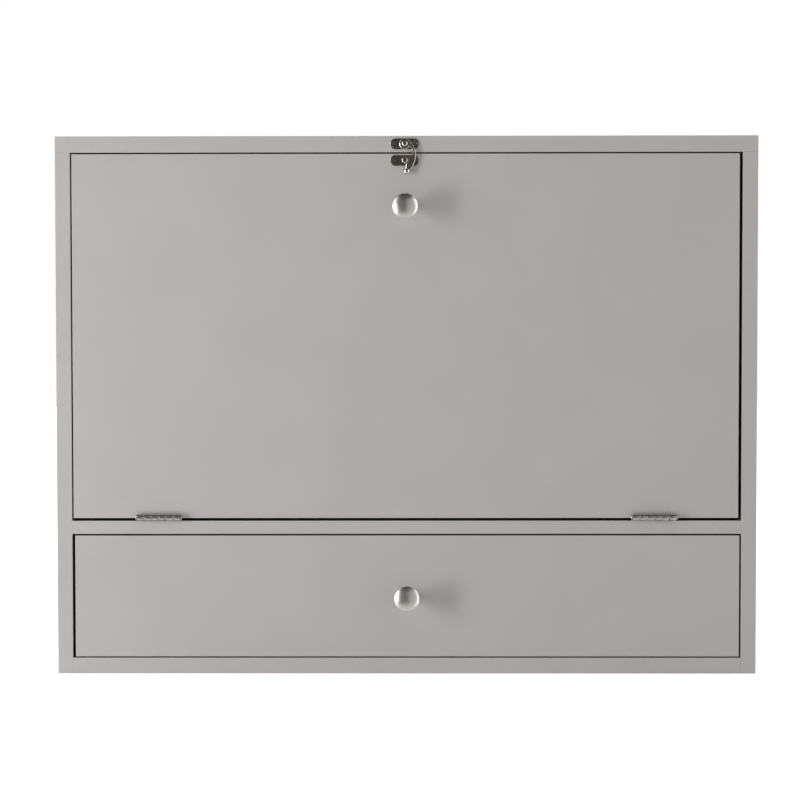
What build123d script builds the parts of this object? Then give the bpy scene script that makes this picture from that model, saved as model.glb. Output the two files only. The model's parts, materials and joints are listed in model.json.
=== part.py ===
from build123d import *
import math
import os

# Wall-hung secretary desk: a board box with a drop-front writing flap over one wide drawer.
# Millimetres. X to the viewer's right, -Y out of the front, +Z up.
# The origin is on the underside of the base, at the centre of the footprint.

# carcass
width = 690.0
height = 530.0
depth = 180.0
side_t = 15.0
base_t = 16.0
top_t = 16.0
shelf_t = 13.0
back_t = 3.0
rebate = 7.0
rebate_clear = 0.2
edge_ease = 0.4

# front panels
front_t = 15.0
front_w = 655.5
flap_shift = -0.8
drawer_shift = 0.5
drawer_gap_low = 1.2
drawer_gap_high = 1.6
flap_gap_low = 2.7
flap_gap_high = 1.4
drawer_front_h = 120.0

# compartment boards
inner_shelf_t = 12.0
inner_shelf_z = 330.0
inner_front = -55.0
divider_t = 12.0
divider_x = 110.0
rail_t = 15.0
rail_h = 60.0
wall_screw_spacing = 406.4
wall_screw_r = 3.0

# drawer box
box_board_t = 12.0
runner_clear = 12.7
box_low = 26.0
box_high = 114.0
box_back = 75.0
bottom_t = 4.0
bottom_low = 32.0
groove_deep = 5.0
groove_clear = 0.1

# knobs
knob_r = 12.25
knob_out = 25.0
knob_foot_r = 7.4
knob_neck_r = 5.1
crown_r = 20.8
rim_r = 1.0
flap_knob_drop = 52.4
knob_screw_r = 2.0
knob_screw_head_r = 4.0
knob_screw_head_t = 2.4
knob_screw_bite = 10.0
knob_hole_spare = 0.2

# butt hinges
hinge_x = 244.0
hinge_len = 43.5
knuckle_r = 3.2
knuckle_count = 6
knuckle_gap = 0.7
hinge_pin_r = 1.2
hinge_bore_r = 1.25
leaf_t = 0.9
leaf_gap = 0.9
leaf_reach = 20.0
axis_out = 3.5
axis_up = 3.7
hinge_screw_spread = 14.0

# flap stays
stay_pivot_in = 28.5
stay_pivot_up = 90.0
stay_lead = 11.0
stay_half_w = 7.0
stay_t = 2.0
stay_inner_x = 323.4
stay_slot_half_w = 3.3
stay_slot_spare = 0.4
stay_pin_r = 3.0
stay_pin_head_r = 6.0
stay_pin_bite = 11.0
stay_side_clear = 0.4
ear_t = 1.6
ear_r = 8.0
rivet_r = 2.0
rivet_head_r = 3.6
rivet_head_t = 1.2
rivet_clear = 0.3

# roller runners
roller_r = 7.0
roller_bore_r = 2.05
axle_r = 2.0
axle_head_r = 3.0
rail_metal_t = 1.2
rail_low = 27.0
rail_high = 48.2
rail_front = -72.0
rail_back = 75.0
front_roller_y = -66.0
front_roller_z = 36.7
rear_roller_y = 66.0
rear_roller_z = 35.5
flange_low = 44.0
runner_web_low = 30.0
runner_web_high = 58.0
rail_screw_z = 38.0
runner_screw_z = 52.5

# hook latch
latch_x = -1.3
latch_z = 522.0
latch_drop = 16.2
plate_w = 28.0
plate_h = 10.6
plate_corner_r = 4.6
plate_t = 1.0
boss_r = 5.2
boss_t = 0.5
hook_t = 1.8
hook_clear = 0.3
hub_r = 5.3
stud_r = 1.6
stud_bite = 10.0
stud_head_r = 2.85
stud_head_t = 1.8
post_r = 2.75
post_out = 7.0
ball_r = 2.95
ball_right = 2.0
ball_drop = 27.0
nail_x = 10.6

# fasteners
cam_r = 7.5
cam_t = 10.0
cam_inset = 24.0
cam_bolt_r = 3.0
bolt_bite = 10.0
dowel_r = 4.0
dowel_len = 30.0
fastener_y = 50.0
drawer_dowel_r = 3.0
screw_head_r = 2.8
screw_r = 1.4
fit = 0.05

front_y = -depth / 2
back_y = depth / 2
half_w = width / 2
inner_x = half_w - side_t
top_under = height - top_t
panel_in = front_y + front_t
back_in = back_y - back_t
drawer_low = base_t + drawer_gap_low
drawer_high = drawer_low + drawer_front_h
shelf_low = drawer_high + drawer_gap_high
shelf_high = shelf_low + shelf_t
flap_low = shelf_high + flap_gap_low
flap_high = top_under - flap_gap_high
hinge_y = front_y - axis_out
hinge_z = shelf_high + axis_up
box_x = inner_x - runner_clear
flap_knob_z = flap_high - flap_knob_drop
drawer_knob_z = (drawer_low + drawer_high) / 2

turns = {"x": Rot(0, 90, 0), "y": Rot(90, 0, 0), "z": Rot(0, 0, 0)}
sides = {"left": -1, "right": 1}


def block(x_ends, y_ends, z_ends):
    size = [ends[1] - ends[0] for ends in (x_ends, y_ends, z_ends)]
    middle = [(ends[0] + ends[1]) / 2 for ends in (x_ends, y_ends, z_ends)]
    return Pos(*middle) * Box(*size)


def board(x_ends, y_ends, z_ends):
    """A board with every edge slightly eased."""
    plain = block(x_ends, y_ends, z_ends)
    return fillet(plain.edges(), edge_ease)


def rod(axis, centre, radius, length):
    return Pos(*centre) * turns[axis] * Cylinder(radius, length)


def span(sign, near, far):
    """An X span on the left (-1) or right (+1) half, from the centre line outwards."""
    return sorted((sign * near, sign * far))


def flat_screw(head, into, head_r, shank_r, length, spare=0.0):
    """A countersunk screw whose flat head lies at the point `head`, driven along `into`."""
    cone_t = head_r - shank_r
    cone = Pos(0, 0, cone_t / 2) * Cone(head_r + spare, shank_r + spare, cone_t)
    shank = Pos(0, 0, length / 2) * Cylinder(shank_r + spare, length + 2 * spare)
    return Plane(origin=head, z_dir=into) * (cone + shank)


def fasten(screws, targets):
    """Cuts each screw's hole, a hair wider than the screw, from the pieces that it holds."""
    holes = [flat_screw(*screw, spare=fit) for screw in screws]
    return [target - holes for target in targets]


def group(solids):
    return Compound(children=list(solids))


def save(name, shape):
    export_step(shape, "parts/" + name + ".step")


# where the panels are bored -------------------------------------------------

def cam_sites():
    """Each board joint as (cam middle, cam axis, bolt middle, bolt axis)."""
    bolt_shift = (bolt_bite - cam_inset) / 2
    for sign in (-1, 1):
        for y in (-fastener_y, fastener_y):
            cam_x = sign * (inner_x - cam_inset)
            bolt_x = sign * (inner_x + bolt_shift)
            yield (cam_x, y, base_t - cam_t / 2), "z", (bolt_x, y, base_t / 2), "x"
            yield (cam_x, y, shelf_low + cam_t / 2), "z", (bolt_x, y, shelf_low + shelf_t / 2), "x"
            in_side = (sign * (inner_x + cam_t / 2), y, top_under - cam_inset)
            yield in_side, "x", (sign * (inner_x + side_t / 2), y, top_under + bolt_shift), "z"


cams = []
cam_bolts = []
hidden_bores = []
for cam_at, cam_axis, bolt_at, bolt_axis in cam_sites():
    bolt_len = cam_inset + bolt_bite
    bolt_bore = rod(bolt_axis, bolt_at, cam_bolt_r + fit, bolt_len + 2 * fit)
    cams.append(rod(cam_axis, cam_at, cam_r, cam_t) - bolt_bore)
    cam_bolts.append(rod(bolt_axis, bolt_at, cam_bolt_r, bolt_len))
    hidden_bores += [bolt_bore, rod(cam_axis, cam_at, cam_r + fit, cam_t)]

dowel_sites = []
for sign in (-1, 1):
    for y in (-fastener_y / 2, fastener_y / 2):
        dowel_x = sign * (inner_x - side_t / 3)
        dowel_sites.append(("x", (dowel_x, y, base_t / 2)))
        dowel_sites.append(("x", (dowel_x, y, shelf_low + shelf_t / 2)))
        dowel_sites.append(("z", (sign * (inner_x + side_t / 2), y, top_under - top_t / 3)))
dowels = [rod(axis, middle, dowel_r, dowel_len) for axis, middle in dowel_sites]
hidden_bores += [rod(axis, middle, dowel_r + fit, dowel_len + 2 * fit) for axis, middle in dowel_sites]

wall_holes = [rod("y", (sign * wall_screw_spacing / 2, back_y - rail_t, top_under - rail_h / 2),
                  wall_screw_r, 2 * rail_t) for sign in (-1, 1)]


# hinges ---------------------------------------------------------------------

def knuckle_spans(centre_x, first):
    pitch = hinge_len / knuckle_count
    start = centre_x - hinge_len / 2
    for index in range(first, knuckle_count, 2):
        low = start + index * pitch + knuckle_gap / 2
        yield (low, low + pitch - knuckle_gap)


def hinge_leaf(centre_x, first, z_low):
    """One leaf: a plate in the flap's gap with tongues that run into its own knuckles."""
    x_ends = (centre_x - hinge_len / 2, centre_x + hinge_len / 2)
    z_ends = (z_low, z_low + leaf_t)
    leaf = block(x_ends, (hinge_y + axis_out, hinge_y + leaf_reach), z_ends)
    for ends in knuckle_spans(centre_x, first):
        middle = (sum(ends) / 2, hinge_y, hinge_z)
        leaf += block(ends, (hinge_y, hinge_y + axis_out), z_ends)
        leaf += rod("x", middle, knuckle_r, ends[1] - ends[0])
    return leaf - rod("x", (centre_x, hinge_y, hinge_z), hinge_bore_r, hinge_len + 2)


def hinge_screws(centre_x, z_head, up):
    staggered = ((-1, 11.0), (0, 15.0), (1, 11.0))
    return [((centre_x + step * hinge_screw_spread, hinge_y + inward, z_head), (0, 0, up),
             screw_head_r, screw_r, 9.5) for step, inward in staggered]


def hinge_pin(centre_x):
    pin = rod("x", (centre_x, hinge_y, hinge_z), hinge_pin_r, hinge_len + 0.4)
    for end in (-1, 1):
        tip = (centre_x + end * (hinge_len / 2 + 0.7), hinge_y, hinge_z)
        button = rod("x", tip, 2.4, 1.0)
        rim = button.edges().sort_by(Axis.X)[-1 if end > 0 else 0]
        pin += fillet(rim, 0.6)
    return pin


# latch ----------------------------------------------------------------------

def face_plane(x, y, z):
    """A plane facing out of the front: local X to the right, local Y up, out along -Y."""
    return Plane(origin=(x, y, z), x_dir=(1, 0, 0), z_dir=(0, -1, 0))


def latch_plate(z):
    plate = extrude(RectangleRounded(plate_w, plate_h, plate_corner_r), plate_t)
    outer_rim = plate.edges().group_by(Axis.Z)[-1]
    plate = fillet(outer_rim, 0.3)
    plate += Pos(0, 0, plate_t + boss_t / 2) * Cylinder(boss_r, boss_t)
    return face_plane(latch_x, front_y, z) * (plate - Cylinder(stud_r + fit, 20))


def nail_specs(z):
    return [((latch_x + side * nail_x, front_y - plate_t, z), (0, 1, 0), 1.5, 0.7, 10.0)
            for side in (-1, 1)]


def hook():
    """The crescent hook, drawn about its stud: it passes right of the post and notches round it."""
    post = Vector(0, -latch_drop)
    notch_r = post_r + 0.5

    def notch(angle):
        return post + Vector(notch_r, 0).rotate(Axis.Z, angle)

    back = ThreePointArc((3.4, 4.1), (10.8, -11.6), (4.3, -26.2))
    toe = Line(back @ 1, (0.6, -25.0))
    heel = Line(toe @ 1, notch(-66))
    mouth = ThreePointArc(heel @ 1, notch(-25), notch(16))
    finger = Line(mouth @ 1, (5.0, -13.4))
    throat = ThreePointArc(finger @ 1, (7.9, -8.8), (4.5, -2.8))
    root = Line(throat @ 1, back @ 0)
    crescent = make_face([back, toe, heel, mouth, finger, throat, root])
    outline = crescent + Circle(hub_r)
    plate = extrude(outline, hook_t)
    ball = Pos(ball_right, -ball_drop, ball_r - 1.1) * Sphere(ball_r)
    bored = plate + ball - Cylinder(stud_r + fit, 20)
    out_y = front_y - plate_t - boss_t - hook_clear
    return face_plane(latch_x, out_y, latch_z) * bored


def latch_pivot():
    head_y = plate_t + boss_t + 2 * hook_clear + hook_t
    head = Pos(0, 0, head_y + stud_head_t / 2) * Cylinder(stud_head_r, stud_head_t)
    head = fillet(head.edges().group_by(Axis.Z)[-1], stud_head_t - 0.2)
    shank = Pos(0, 0, (head_y + 0.1 - stud_bite) / 2) * Cylinder(stud_r, head_y + 0.1 + stud_bite)
    return face_plane(latch_x, front_y, latch_z) * (head + shank)


def catch_post():
    low = plate_t + boss_t
    post = Pos(0, 0, (low + post_out) / 2) * Cylinder(post_r, post_out - low)
    post = fillet(post.edges().group_by(Axis.Z)[-1], 1.0)
    shank = Pos(0, 0, (low + 0.1 - stud_bite) / 2) * Cylinder(stud_r, low + 0.1 + stud_bite)
    return face_plane(latch_x, front_y, latch_z - latch_drop) * (post + shank)


# knobs ----------------------------------------------------------------------

def knob(x, z):
    """A turned mushroom knob: foot, waisted neck and a low domed head with a rolled rim."""
    lean = math.asin((knob_r - rim_r) / (crown_r - rim_r))
    crown_middle = knob_out - crown_r
    rim_middle = crown_middle + (crown_r - rim_r) * math.cos(lean)

    def rim_point(angle):
        turned = Vector(rim_r, 0).rotate(Axis.Z, angle)
        return (knob_r - rim_r + turned.X, rim_middle + turned.Y)

    foot = Polyline((0, 0), (knob_foot_r, 0), (knob_foot_r, 1.2))
    neck = ThreePointArc(foot @ 1, (knob_neck_r, 6.8), (8.4, 13.4))
    under = ThreePointArc(neck @ 1, (11.0, 16.4), rim_point(-30))
    rim = ThreePointArc(under @ 1, rim_point(20), rim_point(90 - math.degrees(lean)))
    half_way = (crown_r * math.sin(lean / 2), crown_middle + crown_r * math.cos(lean / 2))
    crown = ThreePointArc(rim @ 1, half_way, (0, knob_out))
    core = Line(crown @ 1, foot @ 0)
    turned = revolve(make_face([foot, neck, under, rim, crown, core]), Axis.Y)
    thread = rod("y", (0, knob_screw_bite / 2, 0), knob_screw_r + fit, knob_screw_bite + 1)
    return Pos(x, front_y, z) * Rot(0, 0, 180) * (turned - thread)


def knob_screw(x, z):
    head = rod("y", (x, panel_in + knob_screw_head_t / 2, z), knob_screw_head_r, knob_screw_head_t)
    head = fillet(head.edges().sort_by(Axis.Y)[-1], 0.8)
    low = front_y - knob_screw_bite
    slot = block((x - 3, x + 3), (panel_in + 1.4, panel_in + 3), (z - 0.5, z + 0.5))
    return head - slot + rod("y", (x, (panel_in + low) / 2, z), knob_screw_r, panel_in - low)


# stays ----------------------------------------------------------------------

stay_r = math.hypot(stay_pivot_in, stay_pivot_up)
pivot_angle = math.degrees(math.atan2(stay_pivot_up, stay_pivot_in))
pin_angle = pivot_angle - stay_lead
stay_pivot = (hinge_y + stay_pivot_in, hinge_z + stay_pivot_up)
stay_pin_at = (hinge_y + stay_r * math.cos(math.radians(pin_angle)),
               hinge_z + stay_r * math.sin(math.radians(pin_angle)))
closed_reach = 2 * stay_r * math.sin(math.radians(stay_lead / 2))
open_reach = 2 * stay_r * math.sin(math.radians((stay_lead + 90) / 2))
stay_slope = (pivot_angle + pin_angle) / 2 - 90


def stay_arm(sign):
    """A flat slotted arm, pivoted at the flap and sliding along the pin on the side."""
    slot_start = closed_reach - stay_slot_spare
    slot_end = open_reach + stay_slot_spare
    arm = Pos(slot_end / 2, 0) * SlotCenterToCenter(slot_end, 2 * stay_half_w)
    slot = SlotCenterToCenter(slot_end - slot_start, 2 * stay_slot_half_w)
    arm -= Pos((slot_start + slot_end) / 2, 0) * slot
    arm -= Circle(rivet_r + fit)
    slope = math.radians(stay_slope)
    x = stay_inner_x if sign > 0 else -stay_inner_x - stay_t
    place = Plane(origin=(x, *stay_pivot), x_dir=(0, math.cos(slope), math.sin(slope)), z_dir=(1, 0, 0))
    return place * extrude(arm, stay_t)


def x_rod(sign, x_near, x_far, at, radius):
    return rod("x", (sign * (x_near + x_far) / 2, *at), radius, x_far - x_near)


def stay_pin(sign):
    head_far = stay_inner_x - stay_side_clear
    collar_near = stay_inner_x + stay_t + stay_side_clear
    pin = x_rod(sign, head_far - 1.5, head_far, stay_pin_at, stay_pin_head_r)
    pin += x_rod(sign, head_far - 0.5, collar_near + 0.5, stay_pin_at, stay_pin_r)
    pin += x_rod(sign, collar_near, inner_x, stay_pin_at, stay_pin_head_r)
    return pin + x_rod(sign, inner_x - 0.5, inner_x + stay_pin_bite, stay_pin_at, rivet_r)


def stay_bracket(sign):
    ear_far = stay_inner_x - stay_side_clear
    y, z = stay_pivot
    ear_span = span(sign, ear_far - ear_t, ear_far)
    bracket = block(span(sign, ear_far - 22, ear_far), (panel_in, panel_in + ear_t), (z - 10, z + 10))
    bracket += block(ear_span, (panel_in, y), (z - ear_r, z + ear_r))
    bracket += x_rod(sign, ear_far - ear_t, ear_far, stay_pivot, ear_r)
    return bracket - x_rod(sign, ear_far - 5, ear_far + 5, stay_pivot, rivet_r + fit / 2)


def bracket_screws(sign):
    return [((sign * 309.0, panel_in + ear_t, stay_pivot[1] + step), (0, -1, 0),
             screw_head_r, screw_r, 11.0) for step in (-5.5, 5.5)]


def stay_rivet(sign):
    near = stay_inner_x - stay_side_clear - ear_t
    far = stay_inner_x + stay_t + rivet_clear
    rivet = x_rod(sign, near - 0.5, far + 0.5, stay_pivot, rivet_r)
    rivet += x_rod(sign, near - rivet_head_t, near, stay_pivot, rivet_head_r)
    return rivet + x_rod(sign, far, far + rivet_head_t, stay_pivot, rivet_head_r)


# runners --------------------------------------------------------------------

front_axle = (front_roller_y, front_roller_z)
rear_axle = (rear_roller_y, rear_roller_z)
web_x = inner_x - rail_metal_t
runner_x = box_x + rail_metal_t


def slide_rail(sign):
    """The carcass rail: a channel open to the drawer, with an axle for the front roller."""
    y_ends = (rail_front, rail_back)
    lip = span(sign, runner_x + 0.5, inner_x)
    rail = block(span(sign, web_x, inner_x), y_ends, (rail_low, rail_high))
    rail += block(lip, y_ends, (rail_low, rail_low + rail_metal_t))
    rail += block(lip, y_ends, (rail_high - rail_metal_t, rail_high))
    rail += x_rod(sign, runner_x + 1.0, web_x, front_axle, axle_r)
    return rail + x_rod(sign, runner_x + 0.5, runner_x + 1.2, front_axle, axle_head_r)


def drawer_runner(sign):
    """The drawer's runner: a web on the box side and a flange that rolls on the front roller."""
    y_ends = (rail_front - 2, rail_back)
    runner = block(span(sign, box_x, runner_x), y_ends, (runner_web_low, runner_web_high))
    runner += block(span(sign, box_x, web_x - 1.0), y_ends, (flange_low, flange_low + rail_metal_t))
    runner += x_rod(sign, runner_x, web_x - 0.8, rear_axle, axle_r)
    return runner + x_rod(sign, web_x - 1.2, web_x - 0.5, rear_axle, axle_head_r)


def roller(sign, at, x_near, x_far):
    wheel = x_rod(sign, x_near, x_far, at, roller_r)
    wheel = fillet(wheel.edges(), 0.6)
    return wheel - x_rod(sign, x_near - 1, x_far + 1, at, roller_bore_r)


def rail_screw_specs(sign):
    return [((sign * web_x, y, rail_screw_z), (sign, 0, 0), screw_head_r, screw_r, 11.0)
            for y in (-45, 5, 55)]


def runner_screw_specs(sign):
    return [((sign * runner_x, y, runner_screw_z), (-sign, 0, 0), screw_head_r, screw_r, 9.0)
            for y in (-55, 0, 55)]


# boards ---------------------------------------------------------------------

back_space = block((-inner_x - rebate, inner_x + rebate), (back_in, back_y + 1),
                   (base_t - rebate, top_under + rebate))


def carcass_boards():
    full_depth = (front_y, back_y)
    between = (-inner_x, inner_x)
    boards = {
        "top_panel": board((-half_w, half_w), full_depth, (top_under, height)),
        "left_side": board((-half_w, -inner_x), full_depth, (0, top_under)),
        "right_side": board((inner_x, half_w), full_depth, (0, top_under)),
        "base_panel": board(between, full_depth, (0, base_t)),
    }
    boards = {name: shape - back_space for name, shape in boards.items()}
    boards["middle_shelf"] = board(between, (front_y, back_in), (shelf_low, shelf_high))
    return {name: shape - hidden_bores for name, shape in boards.items()}


def compartment_boards():
    depth_span = (inner_front, back_in)
    shelf = board((-inner_x, inner_x), depth_span, (inner_shelf_z, inner_shelf_z + inner_shelf_t))
    rail = board((-inner_x, inner_x), (back_in - rail_t, back_in), (top_under - rail_h, top_under))
    rail_space = block((-inner_x, inner_x), (back_in - rail_t - rebate_clear, back_in),
                       (top_under - rail_h - rebate_clear, top_under))
    boards = {"inner_shelf": shelf, "hanging_rail": rail - wall_holes}
    for name, sign in sides.items():
        x_ends = (sign * divider_x - divider_t / 2, sign * divider_x + divider_t / 2)
        divider = board(x_ends, depth_span, (inner_shelf_z + inner_shelf_t, top_under))
        boards["divider_" + name] = divider - rail_space
    return boards


def back_panel():
    spare = rebate_clear
    panel = block((-inner_x - rebate + spare, inner_x + rebate - spare), (back_in, back_y),
                  (base_t - rebate + spare, top_under + rebate - spare))
    return panel - wall_holes


def back_nails():
    """Small wire nails through the back panel into the base, the shelf and the inner shelf."""
    rows = (base_t - rebate / 2, (shelf_low + shelf_high) / 2, inner_shelf_z + inner_shelf_t / 2)
    return [((x, back_y, z), (0, -1, 0), 1.4, 0.7, 14.0)
            for z in rows for x in (-280, -140, 0, 140, 280)]


def front_panel(shift, z_low, z_high):
    x_ends = (shift - front_w / 2, shift + front_w / 2)
    return board(x_ends, (front_y, panel_in), (z_low, z_high))


def drawer_boards():
    front = front_panel(drawer_shift, drawer_low, drawer_high)
    floor_x = box_x - box_board_t + groove_deep
    floor = block((-floor_x, floor_x), (panel_in - groove_deep, box_back),
                  (bottom_low, bottom_low + bottom_t))
    groove = block((-floor_x - groove_clear, floor_x + groove_clear),
                   (panel_in - groove_deep - groove_clear, box_back + 1),
                   (bottom_low, bottom_low + bottom_t))
    boards = {"drawer_front": front - groove, "drawer_bottom": floor}
    for name, sign in sides.items():
        wall = board(span(sign, box_x - box_board_t, box_x), (panel_in, box_back), (box_low, box_high))
        boards["drawer_side_" + name] = wall - groove
    back_x = box_x - box_board_t
    boards["drawer_back"] = board((-back_x, back_x), (box_back - box_board_t, box_back),
                                  (bottom_low + bottom_t, box_high))
    return boards


# assembly -------------------------------------------------------------------

def screw_on(parts, screws, held):
    """Bores the held pieces for the screws and returns the screws."""
    for name, shape in zip(held, fasten(screws, [parts[name] for name in held])):
        parts[name] = shape
    return [flat_screw(*screw) for screw in screws]


def add_back(parts):
    parts["back_panel"] = back_panel()
    held = ("back_panel", "base_panel", "middle_shelf", "inner_shelf")
    parts["back_panel_nails"] = group(screw_on(parts, back_nails(), held))


def add_hinges(parts):
    shelf_screws = []
    flap_screws = []
    fixed_low = hinge_z - axis_up
    moving_low = fixed_low + leaf_t + leaf_gap
    for name, sign in sides.items():
        centre_x = sign * hinge_x
        fixed = "hinge_leaf_fixed_" + name
        moving = "hinge_leaf_flap_" + name
        parts[fixed] = hinge_leaf(centre_x, 0, fixed_low)
        parts[moving] = hinge_leaf(centre_x, 1, moving_low)
        parts["hinge_pin_" + name] = hinge_pin(centre_x)
        low_screws = hinge_screws(centre_x, fixed_low + leaf_t, -1)
        high_screws = hinge_screws(centre_x, moving_low, 1)
        shelf_screws += screw_on(parts, low_screws, (fixed, "middle_shelf"))
        flap_screws += screw_on(parts, high_screws, (moving, "flap_panel"))
    parts["hinge_screws_shelf"] = group(shelf_screws)
    parts["hinge_screws_flap"] = group(flap_screws)


def add_stays(parts):
    screws = []
    for name, sign in sides.items():
        bracket = "stay_bracket_" + name
        parts["stay_" + name] = stay_arm(sign)
        parts["stay_pin_" + name] = stay_pin(sign)
        pin_bore = x_rod(sign, inner_x - 1, inner_x + stay_pin_bite + fit, stay_pin_at, rivet_r + fit)
        parts[name + "_side"] -= pin_bore
        parts[bracket] = stay_bracket(sign)
        screws += screw_on(parts, bracket_screws(sign), (bracket, "flap_panel"))
    parts["stay_bracket_screws"] = group(screws)
    parts["stay_rivets"] = group(stay_rivet(sign) for sign in (-1, 1))


def add_runners(parts):
    rail_screws = []
    runner_screws = []
    for name, sign in sides.items():
        rail = "slide_rail_" + name
        runner = "drawer_runner_" + name
        parts[rail] = slide_rail(sign)
        parts[runner] = drawer_runner(sign)
        rail_screws += screw_on(parts, rail_screw_specs(sign), (rail, name + "_side"))
        runner_screws += screw_on(parts, runner_screw_specs(sign), (runner, "drawer_side_" + name))
        parts["roller_front_" + name] = roller(sign, front_axle, runner_x + 1.5, web_x - 0.5)
        parts["roller_rear_" + name] = roller(sign, rear_axle, runner_x + 0.7, web_x - 1.5)
    parts["slide_rail_screws"] = group(rail_screws)
    parts["drawer_runner_screws"] = group(runner_screws)


def add_latch(parts):
    places = (("top", "top_panel", latch_z), ("bottom", "flap_panel", latch_z - latch_drop))
    for name, panel, z in places:
        plate = "latch_" + name + "_plate"
        parts[plate] = latch_plate(z)
        parts["latch_nails_" + name] = group(screw_on(parts, nail_specs(z), (plate, panel)))
        parts[panel] -= rod("y", (latch_x, front_y + stud_bite / 2, z), stud_r + fit, stud_bite + 2 * fit)
    parts["latch_pivot"] = latch_pivot()
    parts["latch_catch_post"] = catch_post()
    parts["latch_hook"] = hook()


def add_knobs(parts):
    places = (("flap", "flap_panel", flap_shift, flap_knob_z),
              ("drawer", "drawer_front", drawer_shift, drawer_knob_z))
    for name, panel, x, z in places:
        middle = (x, (front_y + panel_in) / 2, z)
        parts[panel] -= rod("y", middle, knob_screw_r + knob_hole_spare, front_t + 1)
        parts[name + "_knob"] = knob(x, z)
        parts[name + "_knob_screw"] = knob_screw(x, z)


def fasten_drawer(parts):
    """Dowels from the sides into the front, and screws through the sides into the back."""
    sites = [(sign * (box_x - box_board_t / 2), panel_in + 5, z) for sign in (-1, 1) for z in (62, 100)]
    bores = [rod("y", middle, drawer_dowel_r + fit, dowel_len + 2 * fit) for middle in sites]
    for name in ("drawer_side_left", "drawer_side_right", "drawer_front"):
        parts[name] = parts[name] - bores
    parts["drawer_dowels"] = group(rod("y", middle, drawer_dowel_r, dowel_len) for middle in sites)
    screws = [((sign * box_x, box_back - box_board_t / 2, z), (-sign, 0, 0), screw_head_r, screw_r, 34.0)
              for sign in (-1, 1) for z in (68, 98)]
    held = ("drawer_side_left", "drawer_side_right", "drawer_back")
    parts["drawer_screws"] = group(screw_on(parts, screws, held))


def build():
    """Every piece by name, each one bored for what fastens it."""
    parts = {**carcass_boards(), **compartment_boards(), **drawer_boards()}
    parts["flap_panel"] = front_panel(flap_shift, flap_low, flap_high)
    parts["cam_locks"] = group(cams)
    parts["cam_bolts"] = group(cam_bolts)
    parts["wood_dowels"] = group(dowels)
    add_back(parts)
    add_hinges(parts)
    add_stays(parts)
    add_runners(parts)
    add_latch(parts)
    add_knobs(parts)
    fasten_drawer(parts)
    return parts


os.makedirs("parts", exist_ok=True)
for part_name, part_shape in build().items():
    save(part_name, part_shape)
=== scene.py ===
import bmesh
import bpy
import json
import math
from mathutils import Matrix, Vector


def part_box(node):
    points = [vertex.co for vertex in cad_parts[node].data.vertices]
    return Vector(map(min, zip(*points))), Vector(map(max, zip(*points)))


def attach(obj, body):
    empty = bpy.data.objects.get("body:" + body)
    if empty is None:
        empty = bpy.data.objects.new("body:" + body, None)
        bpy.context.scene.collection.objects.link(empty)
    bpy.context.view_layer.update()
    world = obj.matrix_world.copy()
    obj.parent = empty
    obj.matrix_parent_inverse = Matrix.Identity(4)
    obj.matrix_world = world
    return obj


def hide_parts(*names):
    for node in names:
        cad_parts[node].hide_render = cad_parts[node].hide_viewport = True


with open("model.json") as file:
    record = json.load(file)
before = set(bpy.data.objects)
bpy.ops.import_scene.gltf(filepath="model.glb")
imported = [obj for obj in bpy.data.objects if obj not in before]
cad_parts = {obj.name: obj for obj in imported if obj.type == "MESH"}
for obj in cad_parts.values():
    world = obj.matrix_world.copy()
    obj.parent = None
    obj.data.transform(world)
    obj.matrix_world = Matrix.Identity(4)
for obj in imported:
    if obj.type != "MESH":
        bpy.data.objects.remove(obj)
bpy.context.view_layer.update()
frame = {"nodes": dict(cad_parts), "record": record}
nodes = frame["nodes"]
bodyOf = {node: body for body, group in frame["record"]["behaviour"]["bodies"].items() for node in group}
slotOf = {part["node"]: part["material_slot"] for part in frame["record"]["subparts"]}
mm = 0.001
print("frame loaded:", len(nodes), "CAD nodes")


# ---- node helpers
def put(tree, kind, inputs=None, **settings):
    # adds one shader node; an input may be a number, a colour or another node's socket
    node = tree.nodes.new("ShaderNode" + kind)
    for name, value in settings.items():
        setattr(node, name, value)
    for name, value in (inputs or {}).items():
        socket = node.inputs[name]
        if isinstance(value, bpy.types.NodeSocket):
            tree.links.new(value, socket)
        else:
            socket.default_value = value
    return node


def newGroup(name, inputs, outputs):
    tree = bpy.data.node_groups.new(name, "ShaderNodeTree")
    for label, kind, value in inputs:
        socket = tree.interface.new_socket(label, in_out="INPUT", socket_type="NodeSocket" + kind)
        if value is not None:
            socket.default_value = value
    for label, kind in outputs:
        tree.interface.new_socket(label, in_out="OUTPUT", socket_type="NodeSocket" + kind)
    source = tree.nodes.new("NodeGroupInput")
    sink = tree.nodes.new("NodeGroupOutput")
    return tree, source.outputs, sink.inputs


def useGroup(tree, group, inputs):
    node = put(tree, "Group", node_tree=group)
    for name, value in inputs.items():
        if isinstance(value, bpy.types.NodeSocket):
            tree.links.new(value, node.inputs[name])
        else:
            node.inputs[name].default_value = value
    return node.outputs


def noise(tree, where, scale, detail=2.0, roughness=0.5):
    values = {"Vector": where, "Scale": scale, "Detail": detail, "Roughness": roughness}
    return put(tree, "TexNoise", values).outputs[0]


def spread(tree, value, fromLow, fromHigh, toLow=0.0, toHigh=1.0):
    # maps one range onto another, 0 to 1 unless told, and stops at its ends
    values = {"Value": value, "From Min": fromLow, "From Max": fromHigh, "To Min": toLow, "To Max": toHigh}
    return put(tree, "MapRange", values).outputs[0]


def mixColor(tree, factor, first, second):
    node = put(tree, "Mix", data_type="RGBA")
    for index, value in ((0, factor), (6, first), (7, second)):
        if isinstance(value, bpy.types.NodeSocket):
            tree.links.new(value, node.inputs[index])
        else:
            node.inputs[index].default_value = value
    return node.outputs[2]


def calc(tree, operation, first, second=0.0):
    node = put(tree, "Math", operation=operation)
    for index, value in enumerate((first, second)):
        if isinstance(value, bpy.types.NodeSocket):
            tree.links.new(value, node.inputs[index])
        else:
            node.inputs[index].default_value = value
    return node.outputs[0]


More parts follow.
